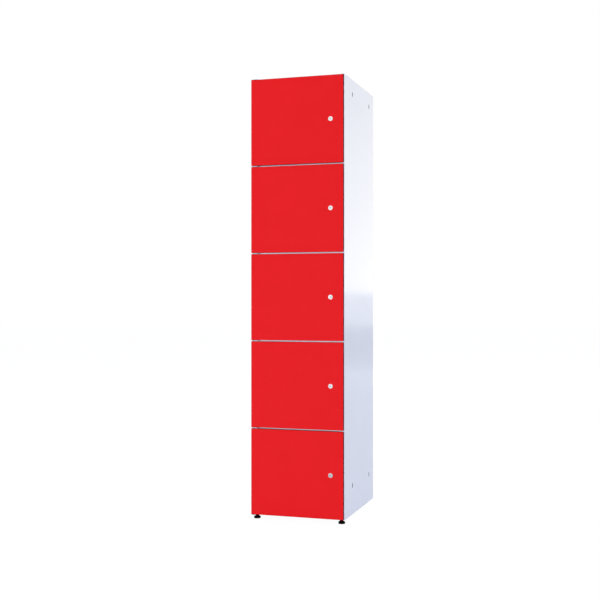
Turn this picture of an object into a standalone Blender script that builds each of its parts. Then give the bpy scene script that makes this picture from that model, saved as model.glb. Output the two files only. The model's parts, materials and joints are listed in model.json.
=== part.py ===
"""A tall locker: a folded steel body with a column of flat lockable doors, on four levelling feet.

The front faces -Y, +X is to the right and Z goes up from the floor. The origin is on the floor,
under the middle of the footprint. All sizes are in metres.
"""

import math

import bmesh
import bpy
from mathutils import Matrix, Vector

# Body
DOOR_COUNT = 5
BODY_WIDTH = 0.395
BODY_HEIGHT = 1.800
BODY_DEPTH = 0.495
SHEET = 0.001
FIT = 0.0003

# Side panels, folded round the front into posts
FRONT_FLANGE = 0.016
RETURN_LIP = 0.012
REAR_FLANGE = 0.014
BEND_RADIUS = 0.002
SLOT_WIDTH = 0.009
SLOT_LENGTH = 0.020
SLOT_FROM_FRONT = 0.130
SLOT_FROM_REAR = 0.081
SLOT_BELOW_TOP = 0.060
SLOT_ABOVE_BOTTOM = 0.120

# Trays: the top, the shelves and the base
LIP_SETBACK = 0.003
SHELF_SETBACK = 0.008
LIP_HEIGHT = 0.025
TURN_DOWN = 0.018
CORNER_RELIEF = 0.003
SHELF_RISE = 0.006
BASE_HEIGHT = 0.030
FOOT_FLANGE = 0.050

# Doors
DOOR_THICKNESS = 0.010
DOOR_STANDOFF = 0.0025
DOOR_GAP = 0.005
DOOR_END_MARGIN = 0.004
DOOR_SIDE_REVEAL = 0.0006
DOOR_EDGE_BREAK = 0.0005

# Pivot hinges: a pin in each gap, held by a bracket on the lip behind it, or by a strap under the base
PIVOT_FROM_EDGE = 0.005
PIVOT_FROM_BACK = 0.005
PIN_DIAMETER = 0.005
PIN_REACH = 0.012
PIN_HOLE_SPARE = 0.002
COLLAR_DIAMETER = 0.0082
BRACKET_SHEET = 0.002
BRACKET_EYE_RADIUS = 0.0046
BRACKET_WIDTH = 0.012
BRACKET_LEG = 0.017
TOP_BRACKET_CLEARANCE = 0.0008
STRAP_WIDTH = 0.008
STRAP_WELD = 0.0055

# Cam locks
LOCK_FROM_EDGE = 0.0535
HEAD_DIAMETER = 0.019
HEAD_THICKNESS = 0.0015
HEAD_CHAMFER = 0.0005
BARREL_DIAMETER = 0.016
BARREL_FLATS = 0.0138
PLUG_DIAMETER = 0.010
KEYHOLE_LENGTH = 0.0068
KEYHOLE_WIDTH = 0.0014
KEYHOLE_DEPTH = 0.004
NUT_ACROSS_FLATS = 0.020
NUT_THICKNESS = 0.004
CAM_CLEARANCE = 0.0018
CAM_CATCH = 0.0115
CAM_WIDTH = 0.016
CAM_THICKNESS = 0.002
CAM_TIP_CHAMFER = 0.003
DRIVE_SQUARE = 0.006
SCREW_DIAMETER = 0.004
SCREW_LENGTH = 0.008
SCREW_HEAD_DIAMETER = 0.008
SCREW_HEAD_THICKNESS = 0.0022

# Levelling feet
FOOT_HEIGHT = 0.0165
PAD_DIAMETER = 0.028
PAD_NECK_DIAMETER = 0.016
PAD_RIM = 0.0065
PAD_ROUND = 0.0015
PAD_NECK_HEIGHT = 0.006
PAD_FLOOR = 0.004
STUD_DIAMETER = 0.008
STUD_TIP_CHAMFER = 0.001
BOSS_DIAMETER = 0.014
BOSS_HEIGHT = 0.010
FOOT_TRAVEL = 0.012
FRONT_FOOT_FROM_SIDE = 0.016
REAR_FOOT_FROM_SIDE = 0.038
FOOT_FROM_FRONT = 0.020
FOOT_FROM_REAR = 0.020

# Facets of the round shapes
LARGE_ROUND = 24
SMALL_ROUND = 16
BEND_STEPS = 3

# Planes and places that follow from the sizes above
LOCK_PROUD = FIT + HEAD_THICKNESS
OVERALL_DEPTH = LOCK_PROUD + DOOR_THICKNESS + DOOR_STANDOFF + BODY_DEPTH
BACK = OVERALL_DEPTH / 2
FRONT = BACK - BODY_DEPTH
DOOR_BACK = FRONT - DOOR_STANDOFF
DOOR_FRONT = DOOR_BACK - DOOR_THICKNESS
BOTTOM = FOOT_HEIGHT
STRAP_HEIGHT = BOTTOM + DOOR_END_MARGIN - DOOR_GAP / 2
BASE_BOTTOM = STRAP_HEIGHT + BRACKET_SHEET / 2 + FIT
BASE_TOP = BASE_BOTTOM + BASE_HEIGHT
TOP = BOTTOM + BODY_HEIGHT
HALF_WIDTH = BODY_WIDTH / 2
TRAY_HALF = HALF_WIDTH - SHEET - FIT
POST_HALF = HALF_WIDTH - FRONT_FLANGE - FIT
LIP_FRONT = FRONT + LIP_SETBACK
SHELF_FRONT = FRONT + SHELF_SETBACK
POST_REAR = FRONT + RETURN_LIP + FIT
FULL_LIP_HALF = TRAY_HALF - CORNER_RELIEF
FULL_NOTCH_REAR = LIP_FRONT + CORNER_RELIEF
FOOT_NOTCH_HALF = HALF_WIDTH - 2 * BEND_RADIUS
PANEL_REAR = BACK - SHEET - FIT
PANEL_FRONT = PANEL_REAR - SHEET
TRAY_REAR = PANEL_FRONT - FIT
DOOR_WIDTH = BODY_WIDTH - 2 * DOOR_SIDE_REVEAL
DOOR_PITCH = (BODY_HEIGHT + DOOR_GAP - 2 * DOOR_END_MARGIN) / DOOR_COUNT
DOOR_HEIGHT = DOOR_PITCH - DOOR_GAP
HINGE_X = -DOOR_WIDTH / 2 + PIVOT_FROM_EDGE
HINGE_Y = DOOR_BACK - PIVOT_FROM_BACK
LOCK_X = DOOR_WIDTH / 2 - LOCK_FROM_EDGE
CAM_FRONT = DOOR_THICKNESS + DOOR_STANDOFF + RETURN_LIP + CAM_CLEARANCE
CAM_BACK = CAM_FRONT + CAM_THICKNESS
CAM_LENGTH = HALF_WIDTH - FRONT_FLANGE - LOCK_X + CAM_CATCH
BARREL_END = CAM_FRONT - FIT
PIN_HOLE_RADIUS = PIN_DIAMETER / 2 + FIT
STUD_TOP = BASE_BOTTOM + BOSS_HEIGHT + FOOT_TRAVEL

# Front corners of the trays: half the lip's length, the lip's front and the rear of the corner's notch
BEHIND_POSTS = (FULL_LIP_HALF, LIP_FRONT, FULL_NOTCH_REAR)
BETWEEN_POSTS = (POST_HALF, SHELF_FRONT, POST_REAR)

# Sides of a flat outline
AT_FRONT = Vector((0, -1))
AT_RIGHT = Vector((1, 0))

# Turns a flat outline's x and y to the cabinet's y and z
SIDEWAYS = Matrix(((0, 0, 1, 0), (1, 0, 0, 0), (0, 1, 0, 0), (0, 0, 0, 1)))


def gap_height(index):
    """Height of the middle of a gap. The first is over the doors, and the last is under them."""
    return TOP - DOOR_END_MARGIN + DOOR_GAP / 2 - index * DOOR_PITCH


def finish(name, colour, roughness, metallic=0.0):
    made = bpy.data.materials.new(name)
    made.use_nodes = True
    shader = made.node_tree.nodes["Principled BSDF"]
    shader.inputs["Base Color"].default_value = (*colour, 1.0)
    shader.inputs["Roughness"].default_value = roughness
    shader.inputs["Metallic"].default_value = metallic
    return made


def place(name, shape, coat, parent, at=(0.0, 0.0, 0.0), facing_front=False):
    """A named object from a bmesh, at a place in the cabinet's frame. A piece that faces the front is
    modelled with its axis along +Z, which is then turned to -Y."""
    mesh = bpy.data.meshes.new(name)
    shape.to_mesh(mesh)
    shape.free()
    mesh.shade_smooth()
    mesh.set_sharp_from_angle(angle=math.radians(35))
    mesh.materials.append(coat)
    piece = bpy.data.objects.new(name, mesh)
    bpy.context.collection.objects.link(piece)
    piece.parent = parent
    piece.location = Vector(at) - parent.location
    if facing_front:
        piece.rotation_euler.x = math.pi / 2
    return piece


def combine(piece, shape, operation):
    """Cuts a shape, given in the piece's own frame, out of the piece, or joins it on."""
    tool_name = f"{piece.name}_{operation.lower()}_tool"
    mesh = bpy.data.meshes.new(tool_name)
    shape.to_mesh(mesh)
    shape.free()
    tool = bpy.data.objects.new(tool_name, mesh)
    bpy.context.collection.objects.link(tool)
    tool.parent = piece
    tool.hide_render = True
    tool.display_type = "WIRE"
    modifier = piece.modifiers.new(operation.capitalize(), "BOOLEAN")
    modifier.operation = operation
    modifier.object = tool


def outward(shape):
    bmesh.ops.recalc_face_normals(shape, faces=shape.faces)
    return shape


def add_box(shape, low, high):
    low, high = Vector(low), Vector(high)
    size = Matrix.Diagonal((*(high - low), 1.0))
    bmesh.ops.create_cube(shape, size=1.0, matrix=Matrix.Translation((low + high) / 2) @ size)


def add_prism(shape, outline, low, high, turn=Matrix.Identity(4)):
    """Extrudes a flat outline, given as x and y, from one height to another, and then turns it."""
    ground = [shape.verts.new((x, y, low)) for x, y in outline]
    raised = bmesh.ops.extrude_face_region(shape, geom=[shape.faces.new(ground)])["geom"]
    corners = [part for part in raised if isinstance(part, bmesh.types.BMVert)]
    bmesh.ops.translate(shape, verts=corners, vec=(0.0, 0.0, high - low))
    bmesh.ops.transform(shape, matrix=turn, verts=ground + corners)


def add_rod(shape, x, y, radius, low, high, facets):
    middle = Matrix.Translation((x, y, (low + high) / 2))
    bmesh.ops.create_cone(
        shape, cap_ends=True, segments=facets, radius1=radius, radius2=radius, depth=high - low, matrix=middle
    )


def turned(profile, facets, hollow=False):
    """A shape of revolution about Z, from points given as radius and height."""
    shape = bmesh.new()
    points = [shape.verts.new((radius, 0.0, height)) for radius, height in profile]
    pairs = list(zip(points, points[1:]))
    if hollow:
        pairs.append((points[-1], points[0]))
    edges = [shape.edges.new(pair) for pair in pairs]
    bmesh.ops.spin(
        shape,
        geom=points + edges,
        cent=(0, 0, 0),
        axis=(0, 0, 1),
        angle=math.tau,
        steps=facets,
        use_merge=True,
    )
    bmesh.ops.remove_doubles(shape, verts=shape.verts, dist=1e-6)
    return outward(shape)


def arc(centre, radius, start, stop, steps):
    """Points on a circle, from one angle to another in degrees."""
    angles = [math.radians(start + (stop - start) * step / steps) for step in range(steps + 1)]
    return [(centre[0] + radius * math.cos(a), centre[1] + radius * math.sin(a)) for a in angles]


def thicken(path, thickness):
    """The closed outline of a strip of sheet whose outer face follows a path, with the metal on its left."""
    steps = [(Vector(b) - Vector(a)).normalized() for a, b in zip(path, path[1:])]
    sides = [Vector((-step.y, step.x)) for step in steps]
    before, after = [sides[0]] + sides, sides + [sides[-1]]
    inner = [
        Vector(point) + (one + two) * thickness / (1 + one.dot(two))
        for point, one, two in zip(path, before, after)
    ]
    return list(path) + [tuple(point) for point in reversed(inner)]


def folded(outline, height, folds):
    """A flat blank, given as x and y in counter-clockwise order, with flanges folded from some of its edges.
    A fold is the side of the blank whose outermost edge it bends, and the moves that carry that edge, one
    for each bend."""
    shape = bmesh.new()
    blank = shape.faces.new([shape.verts.new((x, y, height)) for x, y in outline])
    edges = list(blank.edges)
    for side, moves in folds:
        edge = max(edges, key=lambda each: side.dot(each.verts[0].co.xy + each.verts[1].co.xy))
        for move in moves:
            grown = bmesh.ops.extrude_edge_only(shape, edges=[edge])["geom"]
            ends = [part for part in grown if isinstance(part, bmesh.types.BMVert)]
            bmesh.ops.translate(shape, verts=ends, vec=move)
            edge = shape.edges.get(ends)
    outward(shape)
    shape.faces.ensure_lookup_table()
    if shape.faces[0].normal.z < 0:
        bmesh.ops.reverse_faces(shape, faces=shape.faces)
    return shape


def give_thickness(piece, thickness):
    """Turns a folded face into sheet, with the metal behind the face."""
    modifier = piece.modifiers.new("Sheet", "SOLIDIFY")
    modifier.thickness = thickness
    modifier.offset = -1.0
    modifier.use_even_offset = True


def tray_outline(front_corner):
    """The blank of a tray, notched at its front corners for the posts and at its rear ones for the bends."""
    lip_half, lip_front, notch_rear = front_corner
    inner, rear = TRAY_HALF - CORNER_RELIEF, TRAY_REAR - CORNER_RELIEF
    right = [
        (lip_half, lip_front),
        (lip_half, notch_rear),
        (TRAY_HALF, notch_rear),
        (TRAY_HALF, rear),
        (inner, rear),
        (inner, TRAY_REAR),
    ]
    return right + [(-x, y) for x, y in reversed(right)]


def make_side_panel(name, side, coat, parent):
    """A side sheet with a flange and a return lip at the front, a flange at the rear and four slots
    for bolting cabinets together. The lip stops short of the top and the base, which pass behind it, and
    the flange stops at the underside of the base to leave room for the foot."""
    outer, lip_x, rear_x = HALF_WIDTH, HALF_WIDTH - FRONT_FLANGE, HALF_WIDTH - REAR_FLANGE
    front_bend = arc((outer - BEND_RADIUS, FRONT + BEND_RADIUS), BEND_RADIUS, -90, 0, BEND_STEPS)
    rear_bend = arc((outer - BEND_RADIUS, BACK - BEND_RADIUS), BEND_RADIUS, 0, 90, BEND_STEPS)
    path = [(lip_x, FRONT + RETURN_LIP), (lip_x, FRONT)] + front_bend + rear_bend + [(rear_x, BACK)]
    strip = bmesh.new()
    add_prism(strip, [(side * x, y) for x, y in thicken(path, SHEET)], BOTTOM, TOP)
    panel = place(name, outward(strip), coat, parent)

    cuts = bmesh.new()
    lip_inner = lip_x - FIT
    lip_outer = lip_x + SHEET + FIT
    low_x, high_x = sorted((side * lip_inner, side * lip_outer))
    clear = FRONT + SHEET
    past = FRONT + RETURN_LIP + FIT
    add_box(cuts, (low_x, clear, BOTTOM - FIT), (high_x, past, BASE_TOP + FIT))
    add_box(cuts, (low_x, clear, TOP - LIP_HEIGHT - FIT), (high_x, past, TOP + FIT))
    straight = (SLOT_LENGTH - SLOT_WIDTH) / 2
    round_top = arc((0.0, straight), SLOT_WIDTH / 2, 0, 180, SMALL_ROUND // 2)
    round_bottom = arc((0.0, -straight), SLOT_WIDTH / 2, 180, 360, SMALL_ROUND // 2)
    for y in (FRONT + SLOT_FROM_FRONT, BACK - SLOT_FROM_REAR):
        for z in (TOP - SLOT_BELOW_TOP, BOTTOM + SLOT_ABOVE_BOTTOM):
            through = Matrix.Translation((side * outer, y, z)) @ SIDEWAYS
            add_prism(cuts, round_top + round_bottom, -2 * SHEET, 2 * SHEET, through)
    combine(panel, outward(cuts), "DIFFERENCE")

    notch = bmesh.new()
    low_x, high_x = sorted((side * (lip_inner - SHEET), side * FOOT_NOTCH_HALF))
    add_box(notch, (low_x, FRONT - SHEET, BOTTOM - SHEET), (high_x, FRONT + 2 * SHEET, BASE_BOTTOM))
    combine(panel, outward(notch), "DIFFERENCE")


def make_tray(name, height, front_corner, lip, coat, parent, side_moves):
    """A folded tray with its upper face at a height, a lip at the front and flanges on the other edges."""
    down = (0.0, 0.0, -TURN_DOWN)
    folds = [
        (AT_FRONT, [(0.0, 0.0, -lip)]),
        (AT_RIGHT, side_moves),
        (-AT_RIGHT, [(-x, y, z) for x, y, z in side_moves]),
        (-AT_FRONT, [down]),
    ]
    tray = place(name, folded(tray_outline(front_corner), height, folds), coat, parent)
    give_thickness(tray, SHEET)
    return tray


def foot_places():
    for side, word in ((-1, "left"), (1, "right")):
        yield f"front_{word}", side * (HALF_WIDTH - FRONT_FOOT_FROM_SIDE), FRONT + FOOT_FROM_FRONT
        yield f"rear_{word}", side * (HALF_WIDTH - REAR_FOOT_FROM_SIDE), BACK - FOOT_FROM_REAR


def make_body(coat, parent):
    make_side_panel("left_side_panel", -1, coat, parent)
    make_side_panel("right_side_panel", 1, coat, parent)

    sheet = bmesh.new()
    half = HALF_WIDTH - BEND_RADIUS - FIT
    add_box(sheet, (-half, PANEL_FRONT, BOTTOM), (half, PANEL_REAR, TOP - SHEET - FIT))
    place("back_panel", outward(sheet), coat, parent)

    turned_down = [(0.0, 0.0, -TURN_DOWN)]
    make_tray("top_panel", TOP, BEHIND_POSTS, LIP_HEIGHT, coat, parent, turned_down)
    for index in range(1, DOOR_COUNT):
        height = gap_height(index) + SHELF_RISE
        make_tray(f"shelf_{index}", height, BETWEEN_POSTS, LIP_HEIGHT, coat, parent, turned_down)

    walls = [(0.0, 0.0, -BASE_HEIGHT), (-FOOT_FLANGE, 0.0, 0.0)]
    base = make_tray("base_panel", BASE_TOP, BEHIND_POSTS, BASE_HEIGHT, coat, parent, walls)
    bosses, holes = bmesh.new(), bmesh.new()
    for _, x, y in foot_places():
        boss_top = BASE_BOTTOM + BOSS_HEIGHT
        add_rod(bosses, x, y, BOSS_DIAMETER / 2, BASE_BOTTOM + SHEET / 2, boss_top, SMALL_ROUND)
        add_rod(holes, x, y, STUD_DIAMETER / 2 + FIT, BASE_BOTTOM - SHEET, boss_top + SHEET, SMALL_ROUND)
    combine(base, bosses, "UNION")
    combine(base, holes, "DIFFERENCE")


def drill_eye(bracket):
    hole = bmesh.new()
    add_rod(hole, 0.0, 0.0, PIN_HOLE_RADIUS, -BRACKET_SHEET, BRACKET_SHEET, SMALL_ROUND)
    combine(bracket, hole, "DIFFERENCE")


def make_bracket(name, height, lip_front, coat, parent):
    """A pivot bracket: an eye that lies in the gap between two doors, and a leg on the lip behind it."""
    near = -POST_HALF - HINGE_X
    far = near + BRACKET_WIDTH
    behind = lip_front - FIT - HINGE_Y
    eye = BRACKET_EYE_RADIUS
    outline = [(far, -eye), (far, behind), (near, behind), (near, eye)]
    outline += arc((0.0, 0.0), eye, 90, 270, SMALL_ROUND // 2)
    shape = folded(outline, BRACKET_SHEET / 2, [(-AT_FRONT, [(0.0, 0.0, -BRACKET_LEG)])])
    bracket = place(name, shape, coat, parent, (HINGE_X, HINGE_Y, height))
    give_thickness(bracket, BRACKET_SHEET)
    drill_eye(bracket)


def make_strap(name, coat, parent):
    """The lowest pivot bracket: a flat strap that runs back from its eye, through the notch in the side's
    flange, to the underside of the base."""
    eye = BRACKET_EYE_RADIUS
    left = FIT - FOOT_NOTCH_HALF - HINGE_X
    right = left + STRAP_WIDTH
    rear = FULL_NOTCH_REAR + STRAP_WELD - HINGE_Y
    outline = arc((0.0, 0.0), eye, 135, 360, SMALL_ROUND // 2)
    outline += [(right, eye), (right, rear), (left, rear), (left, eye)]
    plate = bmesh.new()
    add_prism(plate, outline, -BRACKET_SHEET / 2, BRACKET_SHEET / 2)
    drill_eye(place(name, outward(plate), coat, parent, (HINGE_X, HINGE_Y, STRAP_HEIGHT)))


def make_pin(name, height, reach_down, reach_up, coat, parent):
    """A pivot pin through a bracket, with a collar that the door above turns on."""
    radius, collar = PIN_DIAMETER / 2, COLLAR_DIAMETER / 2
    collar_low = BRACKET_SHEET / 2 + FIT
    collar_high = DOOR_GAP / 2 - FIT
    low = -reach_down
    profile = [(0.0, low), (radius, low), (radius, collar_low), (collar, collar_low)]
    profile += [(collar, collar_high), (radius, collar_high), (radius, reach_up), (0.0, reach_up)]
    if reach_up < collar_high:
        profile = [(0.0, low), (radius, low), (radius, reach_up), (0.0, reach_up)]
    place(name, turned(profile, SMALL_ROUND), coat, parent, (HINGE_X, HINGE_Y, height))


def make_hinges(bracket_coat, pin_coat, parent):
    """The pivots: one over the doors, one in each gap between them and one under them."""
    flush = BRACKET_SHEET / 2
    into_door = DOOR_GAP / 2 + PIN_REACH
    over_door = TOP_BRACKET_CLEARANCE + flush
    for index in range(DOOR_COUNT + 1):
        bracket, pin = f"pivot_bracket_{index + 1}", f"pivot_pin_{index + 1}"
        height = gap_height(index)
        if index == 0:
            height = TOP - DOOR_END_MARGIN + over_door
            make_bracket(bracket, height, LIP_FRONT, bracket_coat, parent)
            make_pin(pin, height, over_door + PIN_REACH, flush, pin_coat, parent)
        elif index < DOOR_COUNT:
            make_bracket(bracket, height, SHELF_FRONT, bracket_coat, parent)
            make_pin(pin, height, into_door, into_door, pin_coat, parent)
        else:
            make_strap(bracket, bracket_coat, parent)
            make_pin(pin, height, flush, into_door, pin_coat, parent)


def flatten(shape, half, radius):
    """Gives two flats to the round faces of a radius or less."""
    for corner in shape.verts:
        if corner.co.xy.length < radius + FIT:
            corner.co.x = max(-half, min(half, corner.co.x))


def make_door(name, middle, coat, parent):
    """A solid door panel, hung on its hinge axis, with blind pivot holes and a flatted hole for the lock."""
    left, right = -PIVOT_FROM_EDGE, DOOR_WIDTH - PIVOT_FROM_EDGE
    back, front = PIVOT_FROM_BACK, PIVOT_FROM_BACK - DOOR_THICKNESS
    half = DOOR_HEIGHT / 2
    slab = bmesh.new()
    add_box(slab, (left, front, -half), (right, back, half))
    door = place(name, slab, coat, parent, (HINGE_X, HINGE_Y, middle))
    edge_break = door.modifiers.new("Eased edges", "BEVEL")
    edge_break.width = DOOR_EDGE_BREAK
    edge_break.segments = 1

    lock_hole = bmesh.new()
    hole_radius = BARREL_DIAMETER / 2 + FIT
    add_rod(lock_hole, 0.0, 0.0, hole_radius, -DOOR_THICKNESS, DOOR_THICKNESS, LARGE_ROUND)
    flatten(lock_hole, BARREL_FLATS / 2 + FIT, hole_radius)
    to_front = Matrix.Translation((LOCK_X - HINGE_X, (back + front) / 2, 0.0))
    lock_hole.transform(to_front @ Matrix.Rotation(math.pi / 2, 4, "X"))
    depth = PIN_REACH + PIN_HOLE_SPARE
    add_rod(lock_hole, 0.0, 0.0, PIN_HOLE_RADIUS, half - depth, half + DOOR_GAP, SMALL_ROUND)
    add_rod(lock_hole, 0.0, 0.0, PIN_HOLE_RADIUS, -half - DOOR_GAP, depth - half, SMALL_ROUND)
    combine(door, lock_hole, "DIFFERENCE")
    return door


def make_lock(number, middle, chrome, steel, door):
    """A cam lock: housing and nut clamp the door, and the plug turns the cam that its screw holds on."""
    at = (LOCK_X, DOOR_FRONT, middle)
    bore = PLUG_DIAMETER / 2 + FIT
    barrel = BARREL_DIAMETER / 2
    head = HEAD_DIAMETER / 2
    profile = [(bore, -BARREL_END), (barrel, -BARREL_END), (barrel, FIT), (head, FIT)]
    profile += [(head, LOCK_PROUD - HEAD_CHAMFER), (head - HEAD_CHAMFER, LOCK_PROUD), (bore, LOCK_PROUD)]
    shape = turned(profile, LARGE_ROUND, hollow=True)
    flatten(shape, BARREL_FLATS / 2, barrel)
    place(f"lock_housing_{number}", shape, chrome, door, at, facing_front=True)

    nut_front = -DOOR_THICKNESS - FIT
    nut = bmesh.new()
    corner_radius = NUT_ACROSS_FLATS / 2 / math.cos(math.pi / 6)
    add_rod(nut, 0.0, 0.0, corner_radius, nut_front - NUT_THICKNESS, nut_front, 6)
    nut_piece = place(f"lock_nut_{number}", nut, steel, door, at, facing_front=True)
    nut_hole = bmesh.new()
    add_rod(nut_hole, 0.0, 0.0, barrel + FIT, -2 * DOOR_THICKNESS, 0.0, LARGE_ROUND)
    combine(nut_piece, nut_hole, "DIFFERENCE")

    plug = bmesh.new()
    add_rod(plug, 0.0, 0.0, PLUG_DIAMETER / 2, -BARREL_END, LOCK_PROUD - FIT, LARGE_ROUND)
    plug_piece = place(f"lock_plug_{number}", plug, chrome, door, at, facing_front=True)
    square = bmesh.new()
    side = DRIVE_SQUARE / 2
    add_box(square, (-side, -side, FIT - CAM_BACK), (side, side, CAM_THICKNESS - BARREL_END))
    combine(plug_piece, square, "UNION")
    recesses = bmesh.new()
    long, wide = KEYHOLE_LENGTH / 2, KEYHOLE_WIDTH / 2
    add_box(recesses, (-long, -wide, LOCK_PROUD - KEYHOLE_DEPTH), (long, wide, LOCK_PROUD))
    screw_end = FIT - CAM_BACK + SCREW_LENGTH
    add_rod(recesses, 0.0, 0.0, SCREW_DIAMETER / 2 + FIT, -CAM_BACK - FIT, screw_end, SMALL_ROUND)
    combine(plug_piece, recesses, "DIFFERENCE")

    reach = CAM_WIDTH / 2
    tip = CAM_TIP_CHAMFER
    outline = arc((0.0, 0.0), reach, 0, 180, SMALL_ROUND // 2)
    outline += [(-reach, tip - CAM_LENGTH), (tip - reach, -CAM_LENGTH)]
    outline += [(reach - tip, -CAM_LENGTH), (reach, tip - CAM_LENGTH)]
    plate = bmesh.new()
    add_prism(plate, outline, -CAM_BACK, -CAM_FRONT)
    cam = place(f"lock_cam_{number}", outward(plate), steel, door, at, facing_front=True)
    eye = bmesh.new()
    clear = side + FIT
    add_box(eye, (-clear, -clear, -CAM_BACK - FIT), (clear, clear, FIT - CAM_FRONT))
    combine(cam, eye, "DIFFERENCE")

    seat = -CAM_BACK - FIT
    shank, cap = SCREW_DIAMETER / 2, SCREW_HEAD_DIAMETER / 2
    profile = [(0.0, seat - SCREW_HEAD_THICKNESS), (cap, seat - SCREW_HEAD_THICKNESS), (cap, seat)]
    profile += [(shank, seat), (shank, seat + SCREW_LENGTH), (0.0, seat + SCREW_LENGTH)]
    place(f"cam_screw_{number}", turned(profile, SMALL_ROUND), steel, door, at, facing_front=True)


def make_foot(word, x, y, pad_coat, stud_coat, parent):
    """A levelling foot: a swivel pad on the floor and the stud that screws it in and out of the base."""
    rim, neck = PAD_DIAMETER / 2, PAD_NECK_DIAMETER / 2
    bore = STUD_DIAMETER / 2 + FIT
    top = BASE_BOTTOM - FIT
    profile = [(0.0, 0.0), (rim - PAD_ROUND, 0.0), (rim, PAD_ROUND), (rim, PAD_RIM)]
    profile += [(rim - PAD_ROUND, PAD_RIM + PAD_ROUND), (neck, top - PAD_NECK_HEIGHT), (neck, top)]
    profile += [(bore, top), (bore, PAD_FLOOR), (0.0, PAD_FLOOR)]
    pad = place(f"foot_pad_{word}", turned(profile, LARGE_ROUND), pad_coat, parent, (x, y, 0.0))
    stud, tip = STUD_DIAMETER / 2, STUD_TIP_CHAMFER
    low = PAD_FLOOR + FIT
    profile = [(0.0, low), (stud, low), (stud, STUD_TOP - tip), (stud - tip, STUD_TOP), (0.0, STUD_TOP)]
    place(f"foot_stud_{word}", turned(profile, SMALL_ROUND), stud_coat, pad, (x, y, 0.0))


def main():
    for old in list(bpy.data.objects):
        bpy.data.objects.remove(old)

    white = finish("White powder coat", (0.80, 0.81, 0.84), 0.35)
    red = finish("Red laminate", (0.78, 0.017, 0.020), 0.40)
    chrome = finish("Chrome plate", (0.80, 0.80, 0.82), 0.18, 1.0)
    steel = finish("Zinc-plated steel", (0.62, 0.63, 0.64), 0.35, 1.0)
    black = finish("Black nylon", (0.004, 0.004, 0.004), 0.55)

    cabinet = bpy.data.objects.new("cabinet", None)
    bpy.context.collection.objects.link(cabinet)

    make_body(white, cabinet)
    make_hinges(white, steel, cabinet)
    for number in range(1, DOOR_COUNT + 1):
        middle = (gap_height(number - 1) + gap_height(number)) / 2
        door = make_door(f"door_{number}", middle, red, cabinet)
        make_lock(number, middle, chrome, steel, door)
    for word, x, y in foot_places():
        make_foot(word, x, y, black, steel, cabinet)


main()
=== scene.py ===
"""The finished look of a tall locker with five doors: folded steel, laminate, cam locks and levelling feet.

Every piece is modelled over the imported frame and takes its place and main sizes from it. Metres, +Z up, with
the front at -Y.
"""

import json
import math

import bmesh
import bpy
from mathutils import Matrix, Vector


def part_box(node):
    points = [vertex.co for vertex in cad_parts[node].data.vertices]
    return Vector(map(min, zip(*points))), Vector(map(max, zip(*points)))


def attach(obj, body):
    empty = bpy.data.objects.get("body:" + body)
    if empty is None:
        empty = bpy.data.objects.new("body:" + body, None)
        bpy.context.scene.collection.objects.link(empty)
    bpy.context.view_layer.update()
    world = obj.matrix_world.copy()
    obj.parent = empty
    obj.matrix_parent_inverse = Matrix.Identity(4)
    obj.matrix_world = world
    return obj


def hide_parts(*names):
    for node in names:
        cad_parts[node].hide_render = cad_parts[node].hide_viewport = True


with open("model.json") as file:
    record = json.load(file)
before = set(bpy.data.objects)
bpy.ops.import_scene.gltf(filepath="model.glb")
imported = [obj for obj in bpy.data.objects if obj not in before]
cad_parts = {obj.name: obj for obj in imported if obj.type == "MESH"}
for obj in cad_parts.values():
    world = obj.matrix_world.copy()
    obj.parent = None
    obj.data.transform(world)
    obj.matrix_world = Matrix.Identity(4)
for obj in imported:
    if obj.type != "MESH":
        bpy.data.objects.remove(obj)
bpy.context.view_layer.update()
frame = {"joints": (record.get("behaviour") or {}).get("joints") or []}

# Side panels: each is one sheet of 1 mm steel, folded round the front into a post and round the rear into a
# flange, then powder coated a glossy cool white. Four upright slots let lockers be bolted side by side.
SHEET = 0.001
FIT = 0.0003
TINY = 0.00002
MERGE_WITHIN = 0.000001
FLAT_WITHIN = math.radians(1)
SMOOTH_WITHIN = math.radians(32)
SHARP_BEYOND = math.radians(50)
SIDE_BEND = 0.002
BEND_STEPS = 6
RETURN_LIP = 0.012
REAR_FLANGE = 0.014
SLOT_WIDTH = 0.009
SLOT_LENGTH = 0.020
SLOT_SIDES = 32
SLOT_FROM_FRONT = 0.130
SLOT_FROM_REAR = 0.081
SLOT_BELOW_TOP = 0.060
SLOT_ABOVE_BOTTOM = 0.120
EDGE_BREAK = 0.00015
EASE_STEPS = 2


def linear(code):
    """The linear colour of an sRGB hex value."""
    shares = [int(code[place:place + 2], 16) / 255 for place in (1, 3, 5)]
    return [s / 12.92 if s <= 0.04045 else ((s + 0.055) / 1.055) ** 2.4 for s in shares] + [1.0]


def node(tree, kind, sockets, **settings):
    """Adds a shader node. A socket gets a value, or a link where the value is another node's output."""
    made = tree.nodes.new(kind)
    for name, value in settings.items():
        setattr(made, name, value)
    for name, value in sockets.items():
        if isinstance(value, bpy.types.NodeSocket):
            tree.links.new(value, made.inputs[name])
        else:
            made.inputs[name].default_value = value
    return made


def new_material(name, colour, roughness, metallic=0.0):
    """A material with its tree, its shader and the object's own coordinates to build on."""
    made = bpy.data.materials.new(name)
    made.use_nodes = True
    tree = made.node_tree
    shader = tree.nodes["Principled BSDF"]
    shader.inputs["Base Color"].default_value = linear(colour)
    shader.inputs["Roughness"].default_value = roughness
    shader.inputs["Metallic"].default_value = metallic
    return made, tree, shader, node(tree, "ShaderNodeTexCoord", {}).outputs["Object"]


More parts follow.
